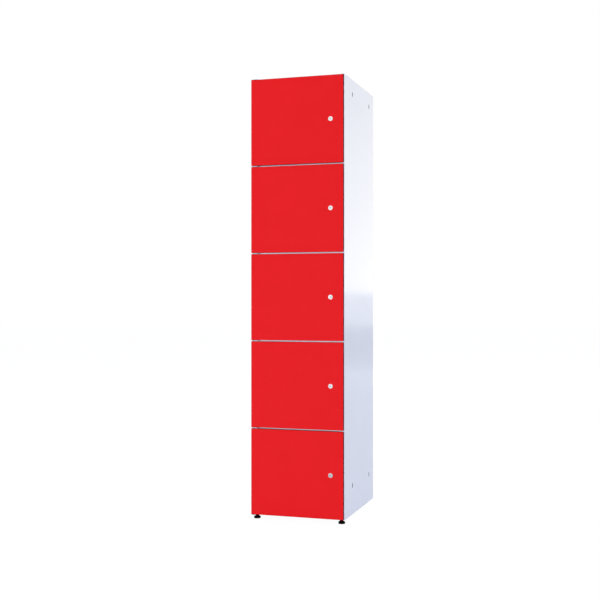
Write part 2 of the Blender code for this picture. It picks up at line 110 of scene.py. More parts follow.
# Gloss powder coat: melted and levelled in an oven, so it shines but keeps a faint ripple like orange peel,
# about 3 mm from crest to crest, and its white drifts very slightly over a hand's width.
PEEL_RIPPLE = 0.003
PEEL_HEIGHT = 0.000003
COAT_DRIFT = 0.15
white_coat, tree, shader, place = new_material("gloss_powder_coat_white", "#E1E6F5", 0.12)
drift = node(tree, "ShaderNodeTexNoise", {"Vector": place, "Scale": 1 / COAT_DRIFT, "Detail": 3.0})
tint = node(
    tree,
    "ShaderNodeMix",
    {0: drift.outputs["Fac"], 6: linear("#DFE4F4"), 7: linear("#E4E9F7")},
    data_type="RGBA",
)
tree.links.new(tint.outputs[2], shader.inputs["Base Color"])
gloss = node(tree, "ShaderNodeMapRange", {"Value": drift.outputs["Fac"], "To Min": 0.10, "To Max": 0.14})
tree.links.new(gloss.outputs["Result"], shader.inputs["Roughness"])
ripple = node(tree, "ShaderNodeTexNoise", {"Vector": place, "Scale": 1 / PEEL_RIPPLE, "Detail": 1.0})
bump = node(tree, "ShaderNodeBump", {"Height": ripple.outputs["Fac"], "Distance": PEEL_HEIGHT})
tree.links.new(bump.outputs["Normal"], shader.inputs["Normal"])


def near(one, other):
    """Whether two lengths are the same, rounding apart."""
    return abs(one - other) < TINY


def between(length, lowest, highest):
    """Whether a length lies within two limits, rounding apart."""
    return lowest - TINY < length < highest + TINY


def put_down():
    """Leaves edit mode and lets go of everything."""
    if bpy.context.object and bpy.context.object.mode != "OBJECT":
        bpy.ops.object.mode_set(mode="OBJECT")
    bpy.ops.object.select_all(action="DESELECT")


def start(add, low, high, **settings):
    """Adds a unit primitive, fills the box between two corners with it and opens it in edit mode."""
    put_down()
    add(**settings)
    bpy.ops.object.transform_apply(location=False, rotation=True, scale=False)
    piece = bpy.context.object
    low, high = Vector(low), Vector(high)
    piece.location = (low + high) / 2
    piece.scale = [side or 1.0 for side in high - low]
    bpy.ops.object.transform_apply(location=True, rotation=False, scale=True)
    bpy.ops.object.mode_set(mode="EDIT")
    return piece


def pick(kind, wanted):
    """Selects the corners, edges or faces of the piece in edit mode whose every corner passes a test."""
    bpy.ops.mesh.select_mode(type=kind)
    bpy.ops.mesh.select_all(action="DESELECT")
    shape = bmesh.from_edit_mesh(bpy.context.object.data)
    parts = {"VERT": shape.verts, "EDGE": shape.edges, "FACE": shape.faces}[kind]
    for part in parts:
        corners = [part] if kind == "VERT" else part.verts
        if all(wanted(corner.co) for corner in corners):
            part.select_set(True)
    shape.select_flush_mode()
    bmesh.update_edit_mesh(bpy.context.object.data)


def extrude(move):
    """Pulls new faces out of the selected edges, or new edges out of the selected corners."""
    bpy.ops.mesh.extrude_region_move(TRANSFORM_OT_translate={"value": move})


def slice_at(point, normal, **settings):
    """Slices the whole piece in edit mode along a plane."""
    bpy.ops.mesh.select_all(action="SELECT")
    bpy.ops.mesh.bisect(plane_co=point, plane_no=normal, **settings)


def trim(unwanted):
    """Deletes the faces of the piece in edit mode whose every corner passes a test."""
    pick("FACE", unwanted)
    bpy.ops.mesh.delete(type="FACE")


def merge_flat_faces():
    """Joins faces that lie in one plane, so that only outlines and folds keep their edges."""
    bpy.ops.mesh.select_all(action="SELECT")
    bpy.ops.mesh.dissolve_limited(angle_limit=FLAT_WITHIN)


def round_folds(radius):
    """Rounds the selected edges as a press bends sheet."""
    bpy.ops.mesh.bevel(offset=radius, segments=BEND_STEPS, affect="EDGES")


def modify(kind, **settings):
    """Adds a modifier to the active piece and applies it."""
    bpy.ops.object.mode_set(mode="OBJECT")
    modifier = bpy.context.object.modifiers.new(kind, kind)
    for name, value in settings.items():
        setattr(modifier, name, value)
    bpy.ops.object.modifier_apply(modifier=modifier.name)


def activate(piece):
    """Makes a piece the only one that the operators act on."""
    put_down()
    bpy.context.view_layer.objects.active = piece
    piece.select_set(True)


def cut(piece, cutter, operation="DIFFERENCE"):
    """Cuts a finished cutter out of a piece and throws the cutter away."""
    activate(piece)
    modify("BOOLEAN", object=cutter, operation=operation, solver="EXACT")
    bpy.data.objects.remove(cutter)


def break_edges(width):
    """Takes the sharpness off the edges of the active piece."""
    modify("BEVEL", width=width, segments=EASE_STEPS, limit_method="ANGLE", angle_limit=SHARP_BEYOND)


def face_outwards():
    """Closes the seams of the active piece and turns its faces outwards."""
    bpy.ops.object.mode_set(mode="EDIT")
    bpy.ops.mesh.select_all(action="SELECT")
    bpy.ops.mesh.remove_doubles(threshold=MERGE_WITHIN)
    bpy.ops.mesh.normals_make_consistent(inside=False)
    bpy.ops.object.mode_set(mode="OBJECT")


def twin(piece, offset, mirror=(1, 1, 1)):
    """A copy of a piece with its own mesh, mirrored about the origin where asked and then moved."""
    activate(piece)
    bpy.ops.object.duplicate()
    made = bpy.context.object
    made.scale = mirror
    made.location = offset
    bpy.ops.object.transform_apply(location=True, rotation=False, scale=True)
    if -1 in mirror:
        face_outwards()
    return made


def hand_over(piece, name, materials, body, slot, *nodes):
    """Shades a finished piece, gives it its name and finish and ties it to the frame."""
    activate(piece)
    bpy.ops.object.shade_smooth_by_angle(angle=SMOOTH_WITHIN)
    modify("WEIGHTED_NORMAL", keep_sharp=True, weight=100)
    piece.name = name
    piece.data.name = name
    indices = [face.material_index for face in piece.data.polygons]
    piece.data.materials.clear()
    for material in materials:
        piece.data.materials.append(material)
    piece.data.polygons.foreach_set("material_index", indices)
    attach(piece, body)
    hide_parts(*nodes)


side_low, side_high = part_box("right_side_panel")
base_bottom, base_top = (corner.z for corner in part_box("base_panel"))
top_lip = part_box("top_panel")[0].z
outer, post = side_high.x, side_low.x
front, rear = side_low.y, side_high.y
lip_low, lip_high = base_top + FIT, top_lip - FIT
right_panel = start(
    bpy.ops.mesh.primitive_plane_add,
    (outer, front, side_low.z),
    (outer, rear, side_high.z),
    size=1,
    rotation=(0, math.pi / 2, 0),
)
pick("EDGE", lambda at: near(at.y, front))
extrude((post - outer, 0, 0))
for height in (lip_low, lip_high):
    slice_at((0, 0, height), (0, 0, 1))
pick("EDGE", lambda at: near(at.x, post) and between(at.z, lip_low, lip_high))
extrude((0, RETURN_LIP, 0))
pick("EDGE", lambda at: near(at.y, rear))
extrude((-REAR_FLANGE, 0, 0))
foot_notch, lip_relief = outer - 2 * SIDE_BEND, post + SIDE_BEND
slice_at((0, 0, base_bottom), (0, 0, 1))
for x in (foot_notch, lip_relief):
    slice_at((x, 0, 0), (1, 0, 0))
for reach, lowest, highest in (
    (foot_notch, side_low.z, base_bottom),
    (lip_relief, side_low.z, lip_low),
    (lip_relief, lip_high, side_high.z),
):
    trim(lambda at: near(at.y, front) and at.x < reach + TINY and between(at.z, lowest, highest))
merge_flat_faces()
for fold_x, fold_y in ((outer, front), (outer, rear), (post, front)):
    pick("EDGE", lambda at: near(at.x, fold_x) and near(at.y, fold_y))
    round_folds(SIDE_BEND)
modify("SOLIDIFY", thickness=SHEET, offset=-1, use_even_offset=True)
half = SLOT_WIDTH / 2
stretch = (SLOT_LENGTH - SLOT_WIDTH) / 2
for slot_y in (front + SLOT_FROM_FRONT, rear - SLOT_FROM_REAR):
    for slot_z in (side_high.z - SLOT_BELOW_TOP, side_low.z + SLOT_ABOVE_BOTTOM):
        punch = start(
            bpy.ops.mesh.primitive_cylinder_add,
            (outer - 3 * SHEET, slot_y - half, slot_z - half),
            (outer + SHEET, slot_y + half, slot_z + half),
            radius=0.5,
            depth=1,
            vertices=SLOT_SIDES,
            rotation=(math.pi / SLOT_SIDES, math.pi / 2, 0),
        )
        for side in (-1, 1):
            pick("VERT", lambda at: side * (at.z - slot_z) > 0)
            bpy.ops.transform.translate(value=(0, 0, side * stretch))
        cut(right_panel, punch)
break_edges(EDGE_BREAK)
left_panel = twin(right_panel, (0, 0, 0), (-1, 1, 1))
for side, panel in (("right", right_panel), ("left", left_panel)):
    node_name = f"{side}_side_panel"
    hand_over(panel, f"{side}_folded_side", [white_coat], "cabinet", "white_powder_coat", node_name)

# Back panel: a flat sheet of the same coated steel. It is held between the rear flanges of the sides and the
# backs of the trays, and spot welded to them.
low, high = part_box("back_panel")
back_panel = start(
    bpy.ops.mesh.primitive_plane_add,
    (low.x, high.y, low.z),
    high,
    size=1,
    rotation=(-math.pi / 2, 0, 0),
)
modify("SOLIDIFY", thickness=high.y - low.y, offset=-1)
break_edges(EDGE_BREAK)
hand_over(back_panel, "flat_back_sheet", [white_coat], "cabinet", "white_powder_coat", "back_panel")

# Trays: the top, the four shelves and the base are folded from notched blanks of the coated steel, with a lip
# at the front and the other edges turned down. The base is deeper, and its sides turn in again under it, with
# welded bosses that carry the feet.
TRAY_BEND = 0.0015
TURN_DOWN = 0.018
CORNER_RELIEF = 0.003
FOOT_FLANGE = 0.050
BOSS_DIAMETER = 0.014
BOSS_HEIGHT = 0.010
BOSS_WELD = 0.0015
FOOT_THREAD = 0.008
ROUND_STEPS = 48
door_numbers = range(1, 6)
feet = [f"{end}_{side}" for end in ("front", "rear") for side in ("left", "right")]


def rod(radius, begin, end):
    """The profile of a plain round bar, which drills a hole."""
    return [(0, begin), (radius, begin), (radius, end), (0, end)]


def spin_up(profile, centre, along, steps=ROUND_STEPS):
    """Draws a profile of radius and distance along an axis, corner by corner, and spins it into a solid."""
    centre, along = Vector(centre), Vector(along)
    points = [centre + Vector((radius, 0, 0)) + along * distance for radius, distance in profile]
    piece = start(bpy.ops.mesh.primitive_plane_add, points[0], points[0], size=1)
    bpy.ops.mesh.select_mode(type="VERT")
    bpy.ops.mesh.select_all(action="SELECT")
    bpy.ops.mesh.merge(type="CENTER")
    for here, there in zip(points, points[1:]):
        extrude(there - here)
    bpy.ops.mesh.select_all(action="SELECT")
    bpy.ops.mesh.spin(steps=steps, angle=math.tau, center=centre, axis=along)
    face_outwards()
    return piece


def fold_tray(node_name, lip_half, notch, side_folds):
    """A tray from a flat blank: notched at the corners, folded along its edges and given its thickness."""
    low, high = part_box(node_name)
    inner, relief = high.x - CORNER_RELIEF, high.y - CORNER_RELIEF
    tray = start(bpy.ops.mesh.primitive_plane_add, (low.x, low.y, high.z), high, size=1)
    for x in (lip_half, -lip_half, inner, -inner):
        slice_at((x, 0, 0), (1, 0, 0))
    for y in (notch, relief):
        slice_at((0, y, 0), (0, 1, 0))
    for side in (1, -1):
        trim(lambda at: side * at.x > lip_half - TINY and at.y < notch + TINY)
        trim(lambda at: side * at.x > inner - TINY and at.y > relief - TINY)
    merge_flat_faces()
    pick("EDGE", lambda at: near(at.y, low.y))
    extrude((0, 0, low.z - high.z))
    pick("EDGE", lambda at: near(at.y, high.y))
    extrude((0, 0, -TURN_DOWN))
    for side in (1, -1):
        pick("EDGE", lambda at: near(at.x, side * high.x))
        for across, down in side_folds:
            extrude((side * across, 0, down))
    for edge in (low.y, high.y):
        pick("EDGE", lambda at: near(at.y, edge) and near(at.z, high.z))
        round_folds(TRAY_BEND)
    pick("EDGE", lambda at: near(abs(at.x), high.x) and near(at.z, high.z))
    round_folds(TRAY_BEND)
    if len(side_folds) > 1:
        pick("EDGE", lambda at: near(abs(at.x), high.x) and near(at.z, low.z))
        round_folds(TRAY_BEND)
    modify("SOLIDIFY", thickness=SHEET, offset=-1, use_even_offset=True)
    return tray


turned_down = [(0, -TURN_DOWN)]
full_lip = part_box("top_panel")[1].x - CORNER_RELIEF
full_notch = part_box("top_panel")[0].y + CORNER_RELIEF
trays = {"top_panel": fold_tray("top_panel", full_lip, full_notch, turned_down)}
first_shelf = fold_tray("shelf_1", post - FIT, front + RETURN_LIP + FIT, turned_down)
for number in range(1, len(door_numbers)):
    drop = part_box(f"shelf_{number}")[0].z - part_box("shelf_1")[0].z
    trays[f"shelf_{number}"] = twin(first_shelf, (0, 0, drop))
bpy.data.objects.remove(first_shelf)
base_low, base_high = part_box("base_panel")
walls = [(0, base_low.z - base_high.z), (-FOOT_FLANGE, 0)]
base = fold_tray("base_panel", full_lip, full_notch, walls)
bore, rim = FOOT_THREAD / 2 + FIT, BOSS_DIAMETER / 2
weld = rim + BOSS_WELD
tube = [(bore, SHEET / 2), (weld, SHEET / 2), (weld, SHEET), (rim, SHEET + BOSS_WELD)]
tube += [(rim, BOSS_HEIGHT), (bore, BOSS_HEIGHT), (bore, SHEET / 2)]
bosses = []
for corner in feet:
    low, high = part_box(f"foot_stud_{corner}")
    axis = ((low.x + high.x) / 2, (low.y + high.y) / 2, base_low.z)
    cut(base, spin_up(rod(bore, -SHEET, 2 * SHEET), axis, (0, 0, 1)))
    bosses.append(spin_up(tube, axis, (0, 0, 1)))
for boss in bosses:
    cut(base, boss, "UNION")
trays["base_panel"] = base
for node_name, tray in trays.items():
    activate(tray)
    break_edges(EDGE_BREAK)
    hand_over(tray, f"folded_{node_name}", [white_coat], "cabinet", "white_powder_coat", node_name)

# Pivot brackets: 2 mm steel, bent once and welded to the lips, with an eye for the pivot pin in each gap
# beside the doors. The lowest one is a flat strap that runs back under the base. All are coated white.
BRACKET_SHEET = 0.002
BRACKET_BEND = 0.0024
BRACKET_EDGE = 0.0003
EYE_STEPS = 12
PIN_DIAMETER = 0.005
PIN_STEPS = 32
hinges = {joint["name"]: joint for joint in frame["joints"]}
pivot = Vector(hinges["door_1_hinge"]["pos_m"])
eye = pivot.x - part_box("pivot_bracket_1")[0].x
shoulder = pivot.y + eye


def round_corners(radius, steps):
    """Rounds the selected corners of a flat blank, just short of where two arcs would meet."""
    bpy.ops.mesh.bevel(offset=radius - TINY, segments=steps, affect="VERTICES")


def bend_bracket(node_name):
    """A bracket cut from the flat, rounded about its eye and bent down where it meets the lip."""
    low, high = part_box(node_name)
    tab = -post + FIT
    bracket = start(bpy.ops.mesh.primitive_plane_add, (low.x, low.y, high.z), high, size=1)
    slice_at((tab, 0, 0), (1, 0, 0))
    slice_at((0, shoulder, 0), (0, 1, 0))
    trim(lambda at: at.x < tab + TINY and at.y > shoulder - TINY)
    merge_flat_faces()
    pick("VERT", lambda at: near(at.x, low.x))
    round_corners(eye, EYE_STEPS)
    pick("EDGE", lambda at: near(at.y, high.y))
    extrude((0, 0, low.z - high.z))
    pick("EDGE", lambda at: near(at.y, high.y) and near(at.z, high.z))
    round_folds(BRACKET_BEND)
    modify("SOLIDIFY", thickness=BRACKET_SHEET, offset=-1, use_even_offset=True)
    return bracket


brackets = [bend_bracket("pivot_bracket_1")]
shelf_bracket = bend_bracket("pivot_bracket_2")
for number in door_numbers[1:]:
    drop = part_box(f"pivot_bracket_{number}")[1].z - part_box("pivot_bracket_2")[1].z
    brackets.append(twin(shelf_bracket, (0, 0, drop)))
bpy.data.objects.remove(shelf_bracket)
last_pivot = len(door_numbers) + 1
low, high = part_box(f"pivot_bracket_{last_pivot}")
strap_left, eye_right = FIT - foot_notch, pivot.x + eye
strap = start(bpy.ops.mesh.primitive_plane_add, (low.x, low.y, high.z), high, size=1)
slice_at((strap_left, 0, 0), (1, 0, 0))
for y in (pivot.y, shoulder):
    slice_at((0, y, 0), (0, 1, 0))
trim(lambda at: at.x < strap_left + TINY and at.y > shoulder - TINY)
pick("VERT", lambda at: near(at.x, high.x) and at.y < pivot.y + TINY)
bpy.ops.transform.translate(value=(eye_right - high.x, 0, 0))
merge_flat_faces()
for y, radius in ((low.y, pivot.x - low.x), (shoulder, strap_left - low.x)):
    pick("VERT", lambda at: near(at.y, y) and at.x < eye_right + TINY and not near(at.x, strap_left))
    round_corners(radius, EYE_STEPS)
modify("SOLIDIFY", thickness=BRACKET_SHEET, offset=-1)
brackets.append(strap)
pin_hole = PIN_DIAMETER / 2 + FIT
drill = rod(pin_hole, -2 * BRACKET_SHEET, 2 * BRACKET_SHEET)
for number, bracket in enumerate(brackets, 1):
    node_name = f"pivot_bracket_{number}"
    eye_axis = (pivot.x, pivot.y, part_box(node_name)[1].z)
    cut(bracket, spin_up(drill, eye_axis, (0, 0, 1), PIN_STEPS))
    break_edges(BRACKET_EDGE)
    hand_over(bracket, f"hinge_eye_{number}", [white_coat], "cabinet", "white_powder_coat", node_name)

# Pivot pins: turned steel pins, zinc plated, pressed into the eyes. A collar carries the door above, and the
# ends are chamfered so that the doors drop on.
PIN_CHAMFER = 0.0006
COLLAR_HEIGHT = 0.0009
COLLAR_FROM_MIDDLE = 0.0013

# Zinc plate: bright, slightly blue passivated electroplating on steel. It is metallic with a soft grey sheen
# that clouds in patches of about 6 mm, and a fine grit of about 0.4 mm.
ZINC_CLOUD = 0.006
ZINC_GRIT = 0.0004
ZINC_GRIT_HEIGHT = 0.000004
zinc, tree, shader, place = new_material("bright_zinc_plated_steel", "#C9CCD0", 0.34, 1.0)
cloud = node(tree, "ShaderNodeTexNoise", {"Vector": place, "Scale": 1 / ZINC_CLOUD, "Detail": 4.0})
tint = node(
    tree,
    "ShaderNodeMix",
    {0: cloud.outputs["Fac"], 6: linear("#BFC4CB"), 7: linear("#D6D5CF")},
    data_type="RGBA",
)
tree.links.new(tint.outputs[2], shader.inputs["Base Color"])
dull = node(tree, "ShaderNodeMapRange", {"Value": cloud.outputs["Fac"], "To Min": 0.26, "To Max": 0.44})
tree.links.new(dull.outputs["Result"], shader.inputs["Roughness"])
grit = node(tree, "ShaderNodeTexNoise", {"Vector": place, "Scale": 1 / ZINC_GRIT, "Detail": 1.0})
bump = node(tree, "ShaderNodeBump", {"Height": grit.outputs["Fac"], "Distance": ZINC_GRIT_HEIGHT})
tree.links.new(bump.outputs["Normal"], shader.inputs["Normal"])

radius = PIN_DIAMETER / 2
under, over = COLLAR_FROM_MIDDLE, COLLAR_FROM_MIDDLE + COLLAR_HEIGHT
for number in range(1, last_pivot + 1):
    node_name = f"pivot_pin_{number}"
    low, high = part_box(node_name)
    collar = (high.x - low.x) / 2
    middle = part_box(f"pivot_bracket_{number}")[1].z - BRACKET_SHEET / 2
    bottom, top = low.z - middle, high.z - middle
    profile = [(0, bottom), (radius - PIN_CHAMFER, bottom), (radius, bottom + PIN_CHAMFER)]
    if collar > radius + TINY:
        profile += [(radius, under), (collar, under), (collar, over), (radius, over)]
    profile += [(radius, top - PIN_CHAMFER), (radius - PIN_CHAMFER, top), (0, top)]
    pin = spin_up(profile, (pivot.x, pivot.y, middle), (0, 0, 1), PIN_STEPS)
    hand_over(pin, f"hinge_pin_{number}", [zinc], "cabinet", "zinc_plated_steel", node_name)

# Doors: 10 mm compact laminate, printed red on both faces over a core of black resin-soaked paper that shows
# at the eased edges. Each has blind holes for its pivots and a flatted hole for its lock.
DOOR_EASE = 0.0006
PIN_REACH = 0.014
BARREL_DIAMETER = 0.016
BARREL_FLATS = 0.0138
FACE_ON = 0.99

# Red laminate: melamine pressed against a matt plate, so it is even in colour, with a fine grain of about
# 0.6 mm that softens reflections and hardly any shine face on.
GRAIN = 0.0006
GRAIN_HEIGHT = 0.000006
LAMINATE_DRIFT = 0.09
red_laminate, tree, shader, place = new_material("red_melamine_laminate", "#E81A1F", 0.46)
shader.inputs["Specular IOR Level"].default_value = 0.2
drift = node(tree, "ShaderNodeTexNoise", {"Vector": place, "Scale": 1 / LAMINATE_DRIFT, "Detail": 3.0})
tint = node(
    tree,
    "ShaderNodeMix",
    {0: drift.outputs["Fac"], 6: linear("#E6191E"), 7: linear("#EA1B20")},
    data_type="RGBA",
)
tree.links.new(tint.outputs[2], shader.inputs["Base Color"])
grain = node(tree, "ShaderNodeTexNoise", {"Vector": place, "Scale": 1 / GRAIN, "Detail": 2.0})
matt = node(tree, "ShaderNodeMapRange", {"Value": grain.outputs["Fac"], "To Min": 0.40, "To Max": 0.52})
tree.links.new(matt.outputs["Result"], shader.inputs["Roughness"])
bump = node(tree, "ShaderNodeBump", {"Height": grain.outputs["Fac"], "Distance": GRAIN_HEIGHT})
tree.links.new(bump.outputs["Normal"], shader.inputs["Normal"])

# Black core: sawn and sanded phenolic paper. The sheets, 0.2 mm each, show as fine streaks about 33 mm long
# at the edges, and are drawn 1 mm apart here so that they can be seen.
PAPER_SHEET = 0.001
STREAK_LENGTH = 1 / 30
black_core, tree, shader, place = new_material("black_phenolic_core", "#121011", 0.9)
shader.inputs["Specular IOR Level"].default_value = 0.02
streaked = (1 / STREAK_LENGTH, 1 / PAPER_SHEET, 1 / STREAK_LENGTH)
squeezed = node(tree, "ShaderNodeMapping", {"Vector": place, "Scale": streaked}).outputs["Vector"]
streaks = node(tree, "ShaderNodeTexNoise", {"Vector": squeezed, "Scale": 1.0, "Detail": 2.0})
tint = node(
    tree,
    "ShaderNodeMix",
    {0: streaks.outputs["Fac"], 6: linear("#0D0B0C"), 7: linear("#181516")},
    data_type="RGBA",
)
tree.links.new(tint.outputs[2], shader.inputs["Base Color"])

low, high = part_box("door_1")
lock = Vector(hinges["lock_1_turn"]["pos_m"])
first_door = start(bpy.ops.mesh.primitive_cube_add, low, high, size=1)
bpy.ops.mesh.select_all(action="SELECT")
bpy.ops.mesh.bevel(offset=DOOR_EASE, segments=EASE_STEPS, affect="EDGES")
depth = high.y - low.y
bore = spin_up(rod(BARREL_DIAMETER / 2 + FIT, -2 * depth, depth), lock, (0, -1, 0))
bpy.ops.object.mode_set(mode="EDIT")
for side in (-1, 1):
    flat = lock + Vector((side * (BARREL_FLATS / 2 + FIT), 0, 0))
    slice_at(flat, (side, 0, 0), clear_outer=True, use_fill=True)
cut(first_door, bore)
drill = rod(pin_hole, PIN_REACH, -PIN_REACH)
for level, way in ((high.z, -1), (low.z, 1)):
    cut(first_door, spin_up(drill, (pivot.x, pivot.y, level), (0, 0, way), PIN_STEPS))
middle = (low.y + high.y) / 2
for face in first_door.data.polygons:
    printed = abs(face.normal.y) > FACE_ON and abs(face.center.y - middle) > depth / 3
    face.material_index = 0 if printed else 1
finishes = [red_laminate, black_core]
for number in door_numbers:
    node_name = f"door_{number}"
    door = twin(first_door, (0, 0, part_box(node_name)[0].z - low.z))
    hand_over(door, f"laminate_{node_name}", finishes, f"door_leaf_{number}", "red_laminate", node_name)
bpy.data.objects.remove(first_door)

# Lock housings: zinc castings, chrome plated, with a thin round head on the door's face and a flatted,
# threaded barrel through it. The head's rim is rounded and its middle is bored for the plug.
HEAD_ROUND = 0.0006
HEAD_STEPS = 64
ARC_STEPS = 4
PLUG_DIAMETER = 0.010
PLUG_LIP = 0.0002
BARREL_THREAD = 0.001
THREAD_DEPTH = 0.0005


def arc(radius, centre, begin, end):
    """Points of a profile along an arc, after its beginning and up to its end, given in degrees."""
    points = []
    for step in range(1, ARC_STEPS + 1):
        angle = math.radians(begin + (end - begin) * step / ARC_STEPS)
        points.append((centre[0] + radius * math.cos(angle), centre[1] + radius * math.sin(angle)))
    return points


def thread(crest, root, begin, pitch, turns):
    """Points of a profile along a thread, with the turns drawn as rings."""
    points = []
    for turn in range(turns):
        level = begin + pitch * (turn + 0.5)
        points += [(crest, level), (root, level + pitch / 2)]
    return points


# Satin chrome: a bright, cool plating over a finely blasted casting. It mirrors the room softly, and fine
# handling marks of about 1.5 mm break up the reflection.
MARKS = 0.0015
MARKS_HEIGHT = 0.000002
chrome, tree, shader, place = new_material("satin_chrome_plate", "#F2F3F4", 0.16, 1.0)
marks = node(tree, "ShaderNodeTexNoise", {"Vector": place, "Scale": 1 / MARKS, "Detail": 3.0})
satin = node(tree, "ShaderNodeMapRange", {"Value": marks.outputs["Fac"], "To Min": 0.10, "To Max": 0.24})
tree.links.new(satin.outputs["Result"], shader.inputs["Roughness"])
bump = node(tree, "ShaderNodeBump", {"Height": marks.outputs["Fac"], "Distance": MARKS_HEIGHT})
tree.links.new(bump.outputs["Normal"], shader.inputs["Normal"])

low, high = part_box("lock_housing_1")
head = (high.z - low.z) / 2
proud = lock.y - low.y
barrel_end = high.y - lock.y
barrel = BARREL_DIAMETER / 2
bore = PLUG_DIAMETER / 2 + FIT
root = barrel - THREAD_DEPTH
turns = int((barrel_end - 2 * BARREL_THREAD) / BARREL_THREAD)
profile = [(bore, -barrel_end), (root, -barrel_end)]
profile += thread(barrel, root, -barrel_end, BARREL_THREAD, turns)
profile += [(root, FIT), (head, FIT), (head, proud - HEAD_ROUND)]
profile += arc(HEAD_ROUND, (head - HEAD_ROUND, proud - HEAD_ROUND), 0, 90)
profile += [(bore + PLUG_LIP, proud), (bore, proud - PLUG_LIP), (bore, -barrel_end)]
first_housing = spin_up(profile, lock, (0, -1, 0), HEAD_STEPS)
bpy.ops.object.mode_set(mode="EDIT")
for side in (-1, 1):
    flat = lock.x + side * BARREL_FLATS / 2
    pick("VERT", lambda at: side * (at.x - flat) > 0 and at.y > lock.y)
    bpy.ops.transform.resize(
        value=(0, 1, 1),
        center_override=(flat, lock.y, lock.z),
        constraint_axis=(True, False, False),
    )

# Lock nuts: thin hexagon nuts of zinc-plated steel, chamfered at the corners. Each is screwed onto a barrel
# from inside the door and clamps the housing to it.
NUT_CHAMFER = 0.0007
low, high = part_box("lock_nut_1")
corner = (high.z - low.z) / 2
first_nut = start(
    bpy.ops.mesh.primitive_cylinder_add,
    (lock.x - corner, low.y, low.z),
    (lock.x + corner, high.y, high.z),
    radius=0.5,
    depth=1,
    vertices=6,
    rotation=(math.pi / 2, 0, 0),
)
nut_front, nut_back = lock.y - low.y, lock.y - high.y
disc = [(0, nut_back), (corner - NUT_CHAMFER, nut_back), (corner, nut_back + NUT_CHAMFER / 2)]
disc += [(corner, nut_front - NUT_CHAMFER / 2), (corner - NUT_CHAMFER, nut_front), (0, nut_front)]
cut(first_nut, spin_up(disc, lock, (0, -1, 0)), "INTERSECT")
hole = rod(barrel + FIT, nut_back - SHEET, nut_front + SHEET)
cut(first_nut, spin_up(hole, lock, (0, -1, 0)))

# Lock plugs: chrome-plated cores with a level keyway in the face and a square at the far end for the cam. The
# keyway's faces are painted near black, as painted shade for the depth of the keyhole.
KEYWAY_LENGTH = 0.0068
KEYWAY_WIDTH = 0.0014
KEYWAY_DEPTH = 0.004
PLUG_EASE = 0.0002
DRIVE_SQUARE = 0.006
DRIVE_ROOT = 0.002
CAM_SCREW_DIAMETER = 0.004
CAM_SCREW_DEPTH = 0.009
CAM_SCREW_STEPS = 32

# Keyway shade: a near-black finish on the keyway's faces is painted shade, standing in for the shade deep in
# the keyhole. Its dull sheen is patchy over about 1 mm.
KEYWAY_SHADE_PATCH = 0.001
keyway_painted_shade, tree, shader, place = new_material("keyway_painted_shade_black", "#0C0C0D", 0.6)
shader.inputs["Specular IOR Level"].default_value = 0.2
patches = node(tree, "ShaderNodeTexNoise", {"Vector": place, "Scale": 1 / KEYWAY_SHADE_PATCH, "Detail": 2.0})
dull = node(tree, "ShaderNodeMapRange", {"Value": patches.outputs["Fac"], "To Min": 0.5, "To Max": 0.75})
tree.links.new(dull.outputs["Result"], shader.inputs["Roughness"])

low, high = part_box("lock_plug_1")
plug_face = lock.y - low.y
plug_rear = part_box("lock_cam_1")[0].y - FIT
plug_end = lock.y - plug_rear
core = PLUG_DIAMETER / 2
profile = [(0, plug_end), (core, plug_end), (core, plug_face - PLUG_EASE)]
profile += [(core - PLUG_EASE, plug_face), (0, plug_face)]
first_plug = spin_up(profile, lock, (0, -1, 0))
half = DRIVE_SQUARE / 2
square_low = (lock.x - half, plug_rear - DRIVE_ROOT, lock.z - half)
square_high = (lock.x + half, high.y, lock.z + half)
cut(first_plug, start(bpy.ops.mesh.primitive_cube_add, square_low, square_high, size=1), "UNION")
half_length, half_width = KEYWAY_LENGTH / 2, KEYWAY_WIDTH / 2
slot_low = (lock.x - half_length, low.y - FIT, lock.z - half_width)
slot_high = (lock.x + half_length, low.y + KEYWAY_DEPTH, lock.z + half_width)
cut(first_plug, start(bpy.ops.mesh.primitive_cube_add, slot_low, slot_high, size=1))
screw_bore = rod(CAM_SCREW_DIAMETER / 2 + FIT, 0, -CAM_SCREW_DEPTH)
cut(first_plug, spin_up(screw_bore, (lock.x, high.y + FIT, lock.z), (0, 1, 0), CAM_SCREW_STEPS))
# Faces sunk in the keyway take the second material, the painted shade; the rest of the plug is chrome.
for face in first_plug.data.polygons:
    across, up = abs(face.center.x - lock.x), abs(face.center.z - lock.z)
    in_keyway = across < half_length + TINY and up < half_width + TINY
    sunk = low.y + TINY < face.center.y < low.y + KEYWAY_DEPTH + TINY
    face.material_index = 1 if in_keyway and sunk else 0

# Lock cams: 2 mm steel straps, zinc plated, square-holed to fit the plug and chamfered at the tip. Each
# swings behind the right post to lock its door.
CAM_TIP = 0.003
CAM_TIP_STEPS = 3
CAM_END_STEPS = 16
CAM_EASE = 0.0003
low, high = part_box("lock_cam_1")
first_cam = start(
    bpy.ops.mesh.primitive_plane_add,
    (low.x, low.y, low.z),
    (high.x, low.y, high.z),
    size=1,
    rotation=(math.pi / 2, 0, 0),
)
pick("VERT", lambda at: near(at.z, high.z))
round_corners((high.x - low.x) / 2, CAM_END_STEPS)
pick("VERT", lambda at: near(at.z, low.z))
bpy.ops.mesh.bevel(offset=CAM_TIP, segments=CAM_TIP_STEPS, affect="VERTICES")
modify("SOLIDIFY", thickness=high.y - low.y, offset=-1)
clear = DRIVE_SQUARE / 2 + FIT
eye_low = (lock.x - clear, low.y - SHEET, lock.z - clear)
eye_high = (lock.x + clear, high.y + SHEET, lock.z + clear)
cut(first_cam, start(bpy.ops.mesh.primitive_cube_add, eye_low, eye_high, size=1))
break_edges(CAM_EASE)

